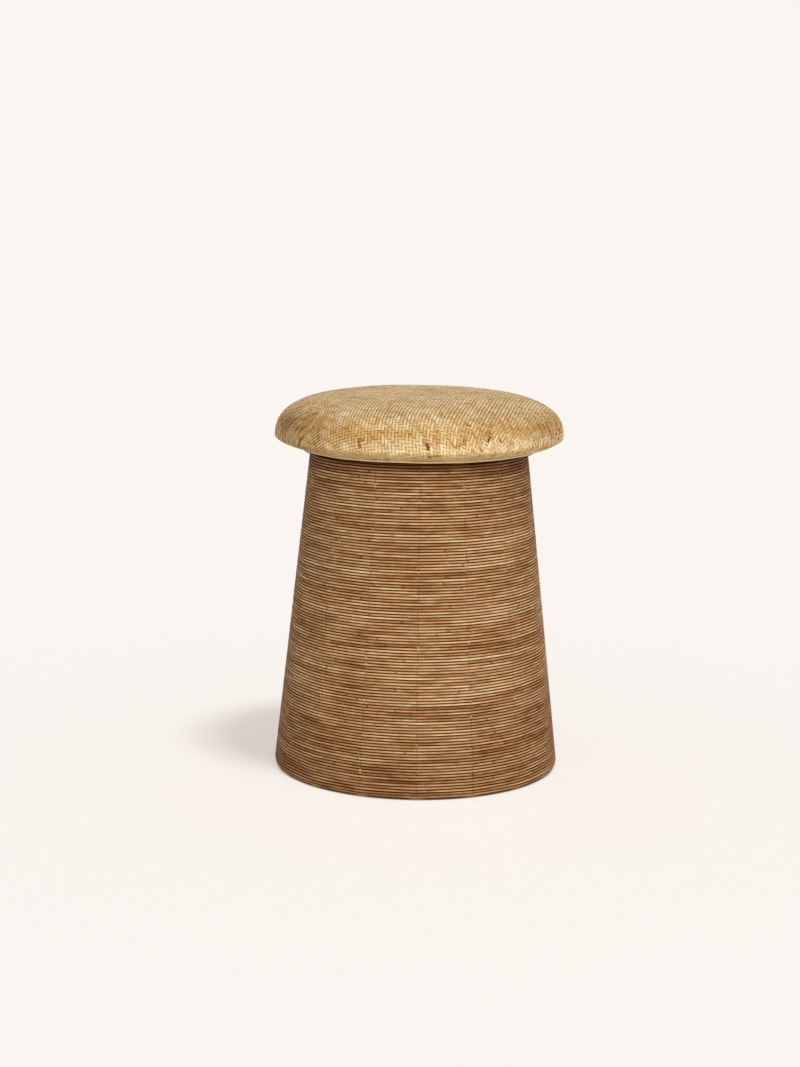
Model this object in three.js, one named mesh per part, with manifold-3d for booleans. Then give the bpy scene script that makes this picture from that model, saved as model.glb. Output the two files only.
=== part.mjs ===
// A cane stool shaped like a mushroom. Sixteen upright slats lean in round four bent hoops, a thin
// round cane is wound over them in one close spiral, and a woven cap on a turned form is screwed on top.
// Millimetres, Z up, the floor at Z 0 and the stool's axis on Z.
import * as THREE from "three";
import { mergeVertices } from "three/addons/utils/BufferGeometryUtils.js";
import Module from "manifold-3d";

// Air left between two pieces that touch on the real stool.
const seatGap = 0.3;
// How far a cutter runs past the face that it opens.
const cutOverrun = 1;

// The wound body, a straight cone: outside radius at each end, and height.
const footRadius = 175;
const neckRadius = 132.3;
const bodyHeight = 386;
// The cane, and how deep the groove between two turns reads.
const caneDiameter = 3.46;
const grooveDepth = 1.2;
// Facets round the ribbed outside of the winding, and round its plain inside.
const ribbedFacets = 20;
const insideFacets = 32;

// The upright slats of split cane.
const slatCount = 16;
const slatWidth = 14;
const slatThickness = 8;
const slatEdgeRadius = 1.6;
const slatEdgeSegments = 1;

// The bent hoops, thick poles inside the slats. A middle hoop's height is a share of the way up
// from the foot hoop to the neck hoop.
const poleRadius = 10;
const poleSides = 8;
const hoopFacets = 32;
const middleHoops = [
  { name: "lower_hoop", heightShare: 0.33 },
  { name: "upper_hoop", heightShare: 0.67 },
];

// The nail-on glides under the foot hoop.
const glideCount = 4;
const glideHeight = 2.5;
const glideRadius = 9;
const glideEdge = 0.8;
const glideFacets = 12;
const nailRadius = 1;
const nailLength = 12;
const nailPoint = 3;

// The seat board, a plywood disc that closes the neck and stands out past it.
const boardOverhang = 8.5;
const boardThickness = 8.3;
const boardEdge = 0.8;

// The screws that hold the cap down from inside, and how far they go into its form.
const screwCount = 4;
const screwShankRadius = 2;
const screwHeadRadius = 4.4;
const screwHeadHeight = 2.6;
const screwBite = 12;
const screwPoint = 3;
const screwFacets = 12;

// The cap: how far it stands out past the board, how high its widest ring and its crown stand over
// the board, how far the weave is pulled down past the board's top, and the thickness of the weave
// and of the cane that binds its rim.
const capOverhang = 33.7;
const capWidestHeight = 8.9;
const capHeight = 63.3;
const rimDrop = 3.6;
const coverThickness = 1.8;
const bindingRadius = 1.2;
// How square the cap's outline is: 1 is a straight line, 2 an ellipse, more is boxier.
const crownAcrossPower = 3.65;
const crownUpPower = 2.47;
const turnUnderPower = 1.43;
const crownSteps = 11;
const turnUnderSteps = 4;
const capFacets = 32;
const bindingSides = 6;

const fullTurn = 2 * Math.PI;
const halfTurn = Math.PI;
const quarterTurn = Math.PI / 2;

// The cone's own measures, from the underside of the winding up.
const bodyBottom = glideHeight + seatGap;
const bodyTop = bodyBottom + bodyHeight;
const bodySlope = (footRadius - neckRadius) / bodyHeight;
const slopeCosine = 1 / Math.hypot(1, bodySlope);
// The turns touch along the slope, so each climbs a little less than the cane's diameter.
const windingPitch = caneDiameter * slopeCosine;

// The octagon that stands for a pole has a flat below, above, inside and outside.
const poleFlat = poleRadius * Math.cos(halfTurn / poleSides);
const poleHalfFlat = poleRadius * Math.sin(halfTurn / poleSides);
const footHoopHeight = bodyBottom + poleFlat;
const neckHoopHeight = bodyTop - poleFlat;
const neckHoopBottom = neckHoopHeight - poleFlat;

const boardRadius = neckRadius + boardOverhang;
const boardBottom = bodyTop + seatGap;
const boardTop = boardBottom + boardThickness;
const capRadius = boardRadius + capOverhang;
// The binding lies against the board's edge, and the weave ends on the middle of the binding.
const capRimRadius = boardRadius + seatGap + bindingRadius;
const capRimHeight = boardTop - rimDrop;
const screwTip = boardTop + seatGap + screwBite;

const caneFinish = finish(0xa9793f, 0.55);
const slatFinish = finish(0xb48a56, 0.7);
const poleFinish = finish(0xa77b48, 0.6);
const boardFinish = finish(0x5a3f28, 0.75);
const formFinish = finish(0xc9a877, 0.8);
const coverFinish = finish(0xcdaa6b, 0.6);
const bindingFinish = finish(0xe0cda4, 0.55);
const glideFinish = finish(0x3a342e, 0.6);
const screwFinish = finish(0xb9b4a6, 0.4, 0.9);

const wasm = await Module();
wasm.setup();

function finish(color, roughness, metalness = 0) {
  return new THREE.MeshStandardMaterial({ color, roughness, metalness, flatShading: true });
}

// A closed surface as a solid that can be cut and joined.
function solidOf(geometry) {
  const bare = geometry.clone();
  bare.deleteAttribute("normal");
  bare.deleteAttribute("uv");
  const merged = mergeVertices(bare);
  return new wasm.Manifold(
    new wasm.Mesh({
      numProp: 3,
      vertProperties: merged.attributes.position.array,
      triVerts: Uint32Array.from(merged.index.array),
    }),
  );
}

function geometryOf(solid) {
  const cut = solid.getMesh();
  return new THREE.BufferGeometry()
    .setAttribute("position", new THREE.BufferAttribute(cut.vertProperties, 3))
    .setIndex(new THREE.BufferAttribute(cut.triVerts, 1));
}

// A profile of [radius, height] pairs turned round Z. It runs up the outside and down the inside.
function turned(profile, facets) {
  const points = profile.map(([radius, height]) => new THREE.Vector2(radius, height));
  return new THREE.LatheGeometry(points, facets).rotateX(quarterTurn);
}

// A plain round or many-sided bar on the axis, used as a cutter.
function bar(radius, low, high, facets) {
  return turned([[0, low], [radius, low], [radius, high], [0, high]], facets);
}

function piece(name, geometry, material) {
  const mesh = new THREE.Mesh(geometry, material);
  mesh.name = name;
  return mesh;
}

// Outside radius of the body's cone at a height.
function bodyRadius(height) {
  return footRadius - bodySlope * (height - bodyBottom);
}

// Radius of the winding's inside wall at a height, at a corner of its facets.
function windingInside(height) {
  return bodyRadius(height) - caneDiameter / slopeCosine;
}

// Distance from the axis to a slat's outer face, whose edges just clear the winding's inside.
function slatOuter(height) {
  const clear = windingInside(height) * Math.cos(halfTurn / insideFacets) - seatGap;
  return Math.sqrt(clear ** 2 - (slatWidth / 2) ** 2);
}

function slatInner(height) {
  return slatOuter(height) - slatThickness;
}

// Radius of a hoop's centre line, so that its outer flat just clears the leaning slats.
function hoopRadius(height) {
  return slatInner(height + poleHalfFlat) - seatGap - poleFlat;
}

// A solid cone with one unbroken crest and groove climbing round it. Each column of corners holds a
// groove and a crest for every turn, and stands a little higher than the last column. One turn
// round, the spiral has climbed by a pitch, so the last column meets the first two rows up.
function spiralCone(low, high) {
  const turns = Math.ceil((high - low) / windingPitch) + 2;
  const rows = 2 * turns;
  const perColumn = rows + 3;
  // The facets straddle the true round, so the outline is neither fat nor thin.
  const straddle = 2 / (1 + Math.cos(halfTurn / ribbedFacets));
  const start = low - 2 * windingPitch;
  const corners = [];
  for (let column = 0; column < ribbedFacets; column++) {
    const around = column / ribbedFacets;
    for (let row = 0; row < perColumn; row++) {
      const height = start + (row / 2 + around) * windingPitch;
      const depth = row % 2 === 0 ? grooveDepth : 0;
      const radius = (bodyRadius(height) - depth) * straddle;
      corners.push(radius * Math.cos(around * fullTurn), radius * Math.sin(around * fullTurn), height);
    }
  }
  const below = corners.length / 3;
  const above = below + 1;
  corners.push(0, 0, start);
  corners.push(0, 0, start + (turns + 2) * windingPitch);

  const corner = (column, row) =>
    column < ribbedFacets ? column * perColumn + row : row + 2;
  const facets = [];
  const last = ribbedFacets - 1;
  for (let column = 0; column < ribbedFacets; column++) {
    const top = column < last ? rows + 2 : rows;
    for (let row = 0; row < top; row++) {
      const a = corner(column, row);
      const b = corner(column + 1, row);
      const c = corner(column + 1, row + 1);
      const d = corner(column, row + 1);
      facets.push(a, b, c, a, c, d);
    }
    facets.push(below, corner(column + 1, 0), corner(column, 0));
  }
  for (let column = 0; column < last; column++)
    facets.push(above, corner(column, rows + 2), corner(column + 1, rows + 2));
  // The step where the spiral starts, and the same step where it ends.
  for (const row of [0, 1]) facets.push(below, corner(0, row), corner(0, row + 1));
  for (const row of [rows + 2, rows + 1]) facets.push(above, corner(last, row), corner(last, row - 1));
  facets.push(above, corner(last, rows), corner(0, rows + 2));
  return new THREE.BufferGeometry()
    .setAttribute("position", new THREE.Float32BufferAttribute(corners, 3))
    .setIndex(facets);
}

// The cane winding: a skin one cane thick, cut level at the foot and at the neck.
function winding() {
  const slab = bar(2 * footRadius, bodyBottom, bodyTop, 4);
  const under = bodyBottom - cutOverrun;
  const over = bodyTop + cutOverrun;
  const hollow = turned(
    [[0, under], [windingInside(under), under], [windingInside(over), over], [0, over]],
    insideFacets,
  );
  const cone = solidOf(spiralCone(bodyBottom, bodyTop));
  const skin = cone.intersect(solidOf(slab)).subtract(solidOf(hollow));
  return piece("cane_winding", geometryOf(skin), caneFinish);
}

// A slat's section, with its outer face on X 0 and its thickness towards the axis.
function slatSection() {
  const r = slatEdgeRadius;
  const side = slatWidth / 2 - r;
  const inner = r - slatThickness;
  const shape = new THREE.Shape();
  shape.absarc(-r, side, r, 0, quarterTurn);
  shape.absarc(inner, side, r, quarterTurn, halfTurn);
  shape.absarc(inner, -side, r, halfTurn, halfTurn + quarterTurn);
  shape.absarc(-r, -side, r, halfTurn + quarterTurn, fullTurn);
  shape.closePath();
  return shape;
}

// The slats stand round the body and lean in with its cone, cut level at both ends.
function slats() {
  const group = new THREE.Group();
  const geometry = new THREE.ExtrudeGeometry(slatSection(), {
    depth: bodyHeight,
    bevelEnabled: false,
    curveSegments: slatEdgeSegments,
  });
  const lean = (slatOuter(bodyTop) - slatOuter(bodyBottom)) / bodyHeight;
  geometry.applyMatrix4(new THREE.Matrix4().makeShear(0, 0, 0, 0, lean, 0));
  geometry.translate(slatOuter(bodyBottom), 0, bodyBottom);
  for (let index = 0; index < slatCount; index++) {
    const mesh = piece(`slat_${String(index + 1).padStart(2, "0")}`, geometry, slatFinish);
    mesh.rotation.z = (index / slatCount) * fullTurn;
    group.add(mesh);
  }
  return group;
}

// A bent pole joined into a ring.
function hoop(height) {
  const radius = hoopRadius(height);
  const section = [];
  for (let side = 0; side <= poleSides; side++) {
    const angle = ((side + 0.5) / poleSides) * fullTurn;
    section.push([radius + poleRadius * Math.cos(angle), height + poleRadius * Math.sin(angle)]);
  }
  return turned(section, hoopFacets);
}

// Places evenly spaced round a circle, the first of them half a step round from X.
function ringOf(count, radius) {
  return Array.from({ length: count }, (_, index) => {
    const around = ((index + 0.5) / count) * fullTurn;
    return [radius * Math.cos(around), radius * Math.sin(around)];
  });
}

const glidePlaces = ringOf(glideCount, hoopRadius(footHoopHeight));
const screwPlaces = ringOf(screwCount, hoopRadius(neckHoopHeight));
const screwHole = screwShankRadius + seatGap;

// A solid with an upright hole at each place.
function drilled(geometry, places, radius, low, high) {
  const hole = bar(radius, low, high, screwFacets);
  let solid = solidOf(geometry);
  for (const [x, y] of places) solid = solid.subtract(solidOf(hole.clone().translate(x, y, 0)));
  return geometryOf(solid);
}

// Copies of one turned piece, one at each place, numbered from 1.
function copies(name, geometry, material, places) {
  const group = new THREE.Group();
  places.forEach(([x, y], index) => {
    const mesh = piece(`${name}_${index + 1}`, geometry, material);
    mesh.position.set(x, y, 0);
    group.add(mesh);
  });
  return group;
}

function hoops() {
  const group = new THREE.Group();
  const nailHole = nailRadius + seatGap;
  const nailHoleTop = glideHeight + nailLength + seatGap;
  const footHoop = drilled(
    hoop(footHoopHeight), glidePlaces, nailHole, bodyBottom - cutOverrun, nailHoleTop,
  );
  group.add(piece("foot_hoop", footHoop, poleFinish));
  for (const { name, heightShare } of middleHoops) {
    const height = footHoopHeight + heightShare * (neckHoopHeight - footHoopHeight);
    group.add(piece(name, hoop(height), poleFinish));
  }
  const neckHoop = drilled(
    hoop(neckHoopHeight), screwPlaces, screwHole, neckHoopBottom - cutOverrun, bodyTop + cutOverrun,
  );
  group.add(piece("neck_hoop", neckHoop, poleFinish));
  return group;
}

// A glide: a low disc with a softened foot, and the nail that fixes it.
function glides() {
  const nailTop = glideHeight + nailLength;
  const geometry = turned(
    [
      [0, 0],
      [glideRadius - glideEdge, 0],
      [glideRadius, glideEdge],
      [glideRadius, glideHeight],
      [nailRadius, glideHeight],
      [nailRadius, nailTop - nailPoint],
      [0, nailTop],
    ],
    glideFacets,
  );
  return copies("glide", geometry, glideFinish, glidePlaces);
}

function seatBoard() {
  const disc = turned(
    [
      [0, boardBottom],
      [boardRadius - boardEdge, boardBottom],
      [boardRadius, boardBottom + boardEdge],
      [boardRadius, boardTop - boardEdge],
      [boardRadius - boardEdge, boardTop],
      [0, boardTop],
    ],
    capFacets,
  );
  const board = drilled(
    disc, screwPlaces, screwHole, boardBottom - cutOverrun, boardTop + cutOverrun,
  );
  return piece("seat_board", board, boardFinish);
}

// Round-head wood screws, driven up through the neck hoop and the board into the form.
function seatScrews() {
  const underHead = neckHoopBottom - seatGap;
  const geometry = turned(
    [
      [0, underHead - screwHeadHeight],
      [screwHeadRadius * Math.SQRT1_2, underHead - screwHeadHeight * Math.SQRT1_2],
      [screwHeadRadius, underHead],
      [screwShankRadius, underHead],
      [screwShankRadius, screwTip - screwPoint],
      [0, screwTip],
    ],
    screwFacets,
  );
  return copies("seat_screw", geometry, screwFinish, screwPlaces);
}

// The cap's outline from its rim out to the widest ring and up to the crown, taken in by an inset.
function capOutline(inset) {
  const rim = capRimHeight + inset;
  const widest = boardTop + capWidestHeight;
  const crown = boardTop + capHeight - inset;
  const radius = capRadius - inset;
  const outline = [];
  for (let step = 0; step < turnUnderSteps; step++) {
    const turn = (1 - step / turnUnderSteps) * quarterTurn;
    outline.push([
      capRimRadius + (radius - capRimRadius) * Math.cos(turn) ** (2 / turnUnderPower),
      widest - (widest - rim) * Math.sin(turn) ** (2 / turnUnderPower),
    ]);
  }
  for (let step = 0; step < crownSteps; step++) {
    const turn = (1 - step / crownSteps) * quarterTurn;
    outline.push([
      radius * Math.sin(turn) ** (2 / crownAcrossPower),
      widest + (crown - widest) * Math.cos(turn) ** (2 / crownUpPower),
    ]);
  }
  outline.push([0, crown]);
  return outline;
}

// The turned form under the weave, cut flat below where it lies on the board.
function seatForm() {
  const underside = boardTop + seatGap;
  const outline = capOutline(coverThickness + seatGap);
  const dome = solidOf(turned([[0, outline[0][1]], ...outline], capFacets));
  const flat = geometryOf(dome.trimByPlane([0, 0, 1], underside));
  const form = drilled(flat, screwPlaces, screwHole, underside - cutOverrun, screwTip + seatGap);
  return piece("seat_form", form, formFinish);
}

// The woven cover: a thin skin over the form, open below, its edge cut upright at the rim.
function wovenCover() {
  const outside = capOutline(0);
  const inside = capOutline(coverThickness).reverse();
  return piece("woven_cover", turned([...outside, ...inside, outside[0]], capFacets), coverFinish);
}

// The pale cane that covers the weave's cut edge, a ring just under the rim.
function rimBinding() {
  const height = capRimHeight - seatGap - bindingRadius;
  const section = [];
  for (let side = 0; side <= bindingSides; side++) {
    const angle = (side / bindingSides) * fullTurn;
    section.push([
      capRimRadius + bindingRadius * Math.cos(angle),
      height + bindingRadius * Math.sin(angle),
    ]);
  }
  return piece("rim_binding", turned(section, capFacets), bindingFinish);
}

const body = new THREE.Group();
body.add(winding(), slats(), hoops(), glides());
const seat = new THREE.Group();
seat.add(seatBoard(), seatScrews(), seatForm(), wovenCover(), rimBinding());
const stool = new THREE.Group();
stool.add(body, seat);

export default stool;
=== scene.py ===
# %% [markdown]
# A mudda is a light stool of cane and reed. This one is shaped like a mushroom. Its body is a straight
# cone of round cane, wound in one long close spiral over upright slats and bent hoops. Its seat is a
# dome covered with a net woven of split cane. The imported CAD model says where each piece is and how
# big it is. This scene dresses it: a piece either gets a finish, or a finer piece of the same size
# takes its place.

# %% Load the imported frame
import math

import bpy
import numpy as np
from mathutils import Matrix, Vector


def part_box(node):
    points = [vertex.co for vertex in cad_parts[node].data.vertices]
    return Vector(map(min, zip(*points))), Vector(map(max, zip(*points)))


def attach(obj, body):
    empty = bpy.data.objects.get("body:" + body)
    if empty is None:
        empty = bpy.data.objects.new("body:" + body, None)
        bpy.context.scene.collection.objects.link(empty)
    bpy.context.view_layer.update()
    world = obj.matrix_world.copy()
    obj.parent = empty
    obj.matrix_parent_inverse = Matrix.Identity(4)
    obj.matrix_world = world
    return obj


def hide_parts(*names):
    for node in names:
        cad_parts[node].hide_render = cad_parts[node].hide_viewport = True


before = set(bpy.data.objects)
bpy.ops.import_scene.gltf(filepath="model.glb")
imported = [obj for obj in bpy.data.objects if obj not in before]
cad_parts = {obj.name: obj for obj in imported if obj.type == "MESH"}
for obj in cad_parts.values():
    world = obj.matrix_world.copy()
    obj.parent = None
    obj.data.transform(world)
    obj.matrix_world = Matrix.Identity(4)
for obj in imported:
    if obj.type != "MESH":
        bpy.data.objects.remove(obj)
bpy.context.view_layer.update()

MM = 0.001
FULL_TURN = 2 * math.pi
print("CAD nodes:", len(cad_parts))

# %% [markdown]
# The photograph looks slightly down on the stool from about two and a half metres, with a long lens,
# so the sides stay straight and the top shows as a flat oval. The lens is worked out from the
# picture's height in pixels, because Blender's sensor width belongs to the longer side. A very small
# roll stands for the lean that the camera had.

# %% Set up the camera
SENSOR = 36
PHOTO_HEIGHT_PX = 1067
FOCAL_PX = 2057
CAMERA_PLACE = Vector((-22.1, -2479, 708)) * MM
CAMERA_TILT = math.radians(90 - 9.68)
CAMERA_ROLL = 0.0107
SEES_AS_FAR_AS = 100


def place_in_scene(name, data):
    """An object that holds a camera, a light or a mesh."""
    thing = bpy.data.objects.new(name, data)
    bpy.context.scene.collection.objects.link(thing)
    return thing


camera_data = bpy.data.cameras.new("camera")
camera_data.sensor_width = SENSOR
camera_data.lens = FOCAL_PX / PHOTO_HEIGHT_PX * SENSOR
camera_data.clip_end = SEES_AS_FAR_AS
camera = place_in_scene("camera", camera_data)
camera.matrix_world = (
    Matrix.Translation(CAMERA_PLACE)
    @ Matrix.Rotation(CAMERA_TILT, 4, "X")
    @ Matrix.Rotation(CAMERA_ROLL, 4, "Z")
)
bpy.context.scene.camera = camera
print("lens", round(camera_data.lens, 1), "mm")

# %% [markdown]
# Every material here is a tree of nodes, and a few helpers keep the trees short to write. One turns a
# colour as it is seen on a screen, written as a hex number, into the linear light that Blender works
# in. Another adds a node, sets its values and connects what feeds it. Where inputs share a name, they
# go by number. In a Map Range node, 1 and 2 are the range that comes in, and 3 and 4 what goes out,
# each 0 to 1 where it isn't given. In a Mix node for colours, 0 is the share, 6 and 7 are the colours,
# and output 2 is the result. Later layers of a finish lie over the earlier ones.

# %% Helpers for materials
NOISE_2D = {"noise_dimensions": "2D", "Scale": 1.0}
LAYER = {"data_type": "RGBA"}
TINT = {"data_type": "RGBA", "blend_type": "MULTIPLY"}
TIMES, LARGER = {"operation": "MULTIPLY"}, {"operation": "MAXIMUM"}


def linear(hex_colour):
    """An sRGB colour such as "d8b070" as linear red, green, blue and alpha."""
    parts = [int(hex_colour[k : k + 2], 16) / 255 for k in (0, 2, 4)]
    light = [c / 12.92 if c <= 0.04045 else ((c + 0.055) / 1.055) ** 2.4 for c in parts]
    return (*light, 1.0)


def empty_tree(owner):
    """The node tree of a material or of the world, with nothing in it."""
    owner.use_nodes = True
    owner.node_tree.nodes.clear()
    return owner.node_tree


def new_material(name):
    material = bpy.data.materials.new(name)
    return material, empty_tree(material)


def add(tree, kind, settings=None, links=None):
    """Adds a node. Settings are its properties or its inputs' values. Links feed its inputs, from an
    output or from a node, which stands for its result."""
    new = tree.nodes.new("ShaderNode" + kind)
    for name, value in (settings or {}).items():
        if isinstance(name, str) and hasattr(new, name):
            setattr(new, name, value)
        else:
            new.inputs[name].default_value = value
    for name, source in (links or {}).items():
        if isinstance(source, bpy.types.Node):
            source = source.outputs[2 if source.type == "MIX" else 0]
        tree.links.new(source, new.inputs[name])
    return new


def set_ramp(ramp, *stops):
    """Gives a colour ramp its stops, each a place from 0 to 1 and a colour."""
    elements = ramp.color_ramp.elements
    while len(elements) > 1:
        elements.remove(elements[-1])
    elements[0].position, elements[0].color = stops[0][0], linear(stops[0][1])
    for place, colour in stops[1:]:
        elements.new(place).color = linear(colour)


print("warm white is", [round(c, 3) for c in linear("faf5f0")])

# %% [markdown]
# The studio is a warm white sweep. A wide plain floor takes the stool's shadow, and away from the
# stool it fades into the same warm white that the world shows to the camera, so no horizon is seen.
# Two suns stand for soft boxes, because a sun lights the whole floor evenly, and so the floor's colour
# can be worked out. A high one on the right throws the short shadow. A low one in front, a little to
# the right, lights the sides. It is flagged off the floor by light linking, as a studio would do with
# a board, or a second long shadow would fall behind the stool. The world fills in the rest.

# %% Light the studio
BACKDROP = linear("faf5f0")
WORLD_LIGHT = 0.29
FILL_COLOUR = linear("fff4e4")
# Each sun: strength, height over the floor, degrees from the right towards the viewer, softness.
HIGH_SUN = (0.84, 69, 50, 12)
FRONT_SUN = (2.5, 28, 80, 46)


def seen_ray(tree):
    """1 for a ray from the camera, also by way of glass or a gloss, and 0 for light on its way."""
    path = add(tree, "LightPath").outputs
    direct = add(tree, "Math", LARGER, {0: path["Is Camera Ray"], 1: path["Is Transmission Ray"]})
    return add(tree, "Math", LARGER, {0: direct, 1: path["Is Glossy Ray"]})


def add_sun(name, strength, rise, towards_viewer, softness):
    """A sun, and how much light it gives a level floor."""
    sun_data = bpy.data.lights.new(name, "SUN")
    sun_data.energy = strength
    sun_data.angle = math.radians(softness)
    sun = place_in_scene(name, sun_data)
    up, side = math.radians(rise), math.radians(towards_viewer)
    to_sun = Vector((math.cos(up) * math.cos(side), -math.cos(up) * math.sin(side), math.sin(up)))
    sun.matrix_world = Matrix.Translation(to_sun) @ to_sun.to_track_quat("Z", "Y").to_matrix().to_4x4()
    return sun, strength * math.sin(up) / math.pi


world = bpy.data.worlds.new("studio")
bpy.context.scene.world = world
tree = empty_tree(world)
fill = add(tree, "Background", {"Color": FILL_COLOUR, "Strength": WORLD_LIGHT})
seen = add(tree, "Background", {"Color": BACKDROP, "Strength": 1.0})
either = add(tree, "MixShader", links={0: seen_ray(tree), 1: fill, 2: seen})
add(tree, "OutputWorld", links={"Surface": either})
high_sun, high_level = add_sun("high_sun", *HIGH_SUN)
front_sun, front_level = add_sun("front_sun", *FRONT_SUN)
floor_light = [WORLD_LIGHT * c + high_level for c in FILL_COLOUR[:3]]
print("light on the floor", [round(c, 2) for c in floor_light], "more on the seat", round(front_level, 2))

# %% [markdown]
# The floor is matte paint. Part of its brightness is real light, which the stool's shadow takes away,
# and part is a glow that the camera sees, which keeps the shadow as pale as the photograph's. Under
# the stool there is no glow, so the gap at the foot stays dark. To other rays the floor is a plain
# warm reflector.

# %% Lay the floor
FLOOR_HALF = 12
FLOOR_BOUNCE = 0.75
SHADOW_SHARE = 0.54
# The glow sets in here from the stool's axis, and the fade to plain backdrop there, in metres.
FOOT_NEAR, FOOT_FAR = 0.170, 0.174
FADE_NEAR, FADE_FAR = 0.7, 1.5


def deselect_all():
    bpy.ops.object.select_all(action="DESELECT")


deselect_all()
bpy.ops.mesh.primitive_plane_add(size=2 * FLOOR_HALF)
floor = bpy.context.object
floor.name = "floor"
floor_material, tree = new_material("painted_studio_floor")
place = add(tree, "TexCoord").outputs["Object"]
distance = add(tree, "VectorMath", {"operation": "LENGTH"}, {0: place}).outputs["Value"]
far = add(tree, "MapRange", {1: FADE_NEAR, 2: FADE_FAR}, {0: distance})
clear = add(tree, "MapRange", {1: FOOT_NEAR, 2: FOOT_FAR, 4: 1 - SHADOW_SHARE}, {0: distance})
paint = (*(min(SHADOW_SHARE * c / light, 1) for c, light in zip(BACKDROP, floor_light)), 1.0)
matte = add(tree, "BsdfDiffuse", {"Color": paint})
glow = add(tree, "Emission", {"Color": BACKDROP}, {"Strength": clear})
near_floor = add(tree, "AddShader", links={0: matte, 1: glow})
far_floor = add(tree, "Emission", {"Color": BACKDROP, "Strength": 1.0})
shown = add(tree, "MixShader", links={0: far, 1: near_floor, 2: far_floor})
bounce = add(tree, "Emission", {"Color": BACKDROP, "Strength": FLOOR_BOUNCE})
either = add(tree, "MixShader", links={0: seen_ray(tree), 1: bounce, 2: shown})
add(tree, "OutputMaterial", links={"Surface": either})
floor.data.materials.append(floor_material)
flag = bpy.data.collections.new("flagged_off_the_floor")
flag.objects.link(floor)
front_sun.light_linking.receiver_collection = flag
flag.collection_objects[0].light_linking.link_state = "EXCLUDE"
bpy.context.scene.view_settings.view_transform = "Standard"
print("floor paint", [round(c, 2) for c in paint[:3]])

# %% [markdown]
# The sizes of the new pieces come from the CAD nodes' boxes, so the dressed stool can't drift away
# from its frame. Only what a box can't tell is written down: how thick the canes are, how far two
# pieces are kept apart, and the cone's two radii, because the box of the winding holds its ribs too.

# %% Measure the frame
CANE_RADIUS = 1.73 * MM
BINDING_RADIUS = 1.2 * MM
SEAT_GAP = 0.3 * MM
FOOT_RADIUS, NECK_RADIUS = 175 * MM, 132.3 * MM


def reach(node):
    """A round node's radius, and its lowest and highest point."""
    low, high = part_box(node)
    return max(high.x, -low.x), low.z, high.z


body_low, body_high = reach("cane_winding")[1:]
board_radius, board_low, board_high = reach("seat_board")
cap_radius, cap_rim, cap_crown = reach("woven_cover")
binding_reach, binding_low, binding_high = reach("rim_binding")
rim_radius = binding_reach - BINDING_RADIUS
body_slope = (FOOT_RADIUS - NECK_RADIUS) / (body_high - body_low)
turn_climb = 2 * CANE_RADIUS / math.hypot(1, body_slope)
turn_count = (body_high - body_low) / turn_climb
print("body", round(body_low / MM, 1), "to", round(body_high / MM, 1), "mm,", round(turn_count, 1), "turns")

# %% [markdown]
# Each new piece goes through the same last steps. It gets its one material, it rides on the stool's
# only body, and it takes the place of the CAD nodes that it dresses. Pieces that are built point by
# point share a helper too. A primitive is given its name, and its place goes into its mesh.

# %% Helpers for pieces
def set_material(piece, material):
    piece.data.materials.clear()
    piece.data.materials.append(material)


def finish_piece(piece, material, slot_name, *nodes):
    """Gives a piece its material, lets it ride on the stool and take the place of CAD nodes. Its slot name
    is not used.
    """
    set_material(piece, material)
    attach(piece, "root")
    if nodes:
        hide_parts(*nodes)
    print(piece.name, len(piece.data.polygons), "faces")
    return piece


def smooth_mesh(name, points, faces, uv_name, uv, attributes):
    """A smooth mesh, with a UV map of its faces' corners and attributes of its points."""
    mesh = bpy.data.meshes.new(name)
    mesh.from_pydata(points.tolist(), [], faces)
    mesh.uv_layers.new(name=uv_name).data.foreach_set("uv", uv.ravel())
    for attribute, values in attributes.items():
        mesh.attributes.new(attribute, "FLOAT", "POINT").data.foreach_set("value", values)
    mesh.polygons.foreach_set("use_smooth", [True] * len(mesh.polygons))
    return mesh


def settle(name):
    """Names the primitive that was just added, and moves its place into its mesh."""
    piece = bpy.context.object
    piece.name = name
    bpy.ops.object.transform_apply(location=True, rotation=True, scale=True)
    return piece


kinds = {name.rstrip("_0123456789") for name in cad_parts}
print("kinds of node to dress:", ", ".join(sorted(kinds)))

# %% [markdown]
# The body's skin is one round cane, wound edge to edge for more than a hundred turns. A screw modifier
# could make a spiral on a cylinder, but this one runs on a cone, its first and last turns are thinned
# to a wedge so that both ends lie level, and it goes a little straighter between two slats than round
# a true circle. So the rings of the tube are placed by a formula. Each ring's vertices start on the
# side that faces the axis, which hides the seam of the UV map. The map runs in metres along the
# cane, so that stains and fibres keep their real size.

# %% Shape a tube along a line
def smooth_noise(where, spacing):
    """Smooth random values from -1 to 1 along a length, with a new value each spacing."""
    count = int(where.max() / spacing) + 3
    values = rng.uniform(-1, 1, count)
    cell = where / spacing
    low = cell.astype(int)
    ease = (1 - np.cos((cell - low) * math.pi)) / 2
    return values[low] * (1 - ease) + values[low + 1] * ease


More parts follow.
